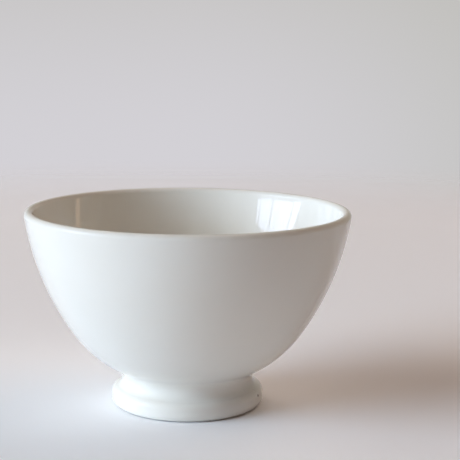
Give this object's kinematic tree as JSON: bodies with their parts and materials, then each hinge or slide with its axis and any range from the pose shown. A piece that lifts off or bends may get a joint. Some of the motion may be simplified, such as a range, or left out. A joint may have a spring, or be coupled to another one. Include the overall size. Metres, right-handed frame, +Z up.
{
  "type": "latte bowl",
  "caption": "Deep round bowl for milky coffee, with a soft rounded lip, a flaring wall and a low flared pedestal foot, white glazed all over but for the ring that it stands on.",
  "frame": {"origin": "middle of the plane that the foot stands on", "axes": "+Z up along the bowl's axis of revolution; X and Y lie level and are alike"},
  "size_m": [0.14, 0.14, 0.0855],
  "materials": {
    "earthenware": "bare biscuit",
    "slip": "bare biscuit",
    "white_glaze": "glossy"
  },
  "bodies": {
    "root": {"bowl_body": "earthenware", "pedestal_foot": "earthenware", "luting_slip": "slip", "inside_glaze": "white_glaze", "outside_glaze": "white_glaze", "recess_glaze": "white_glaze"}
  },
  "joints": []
}
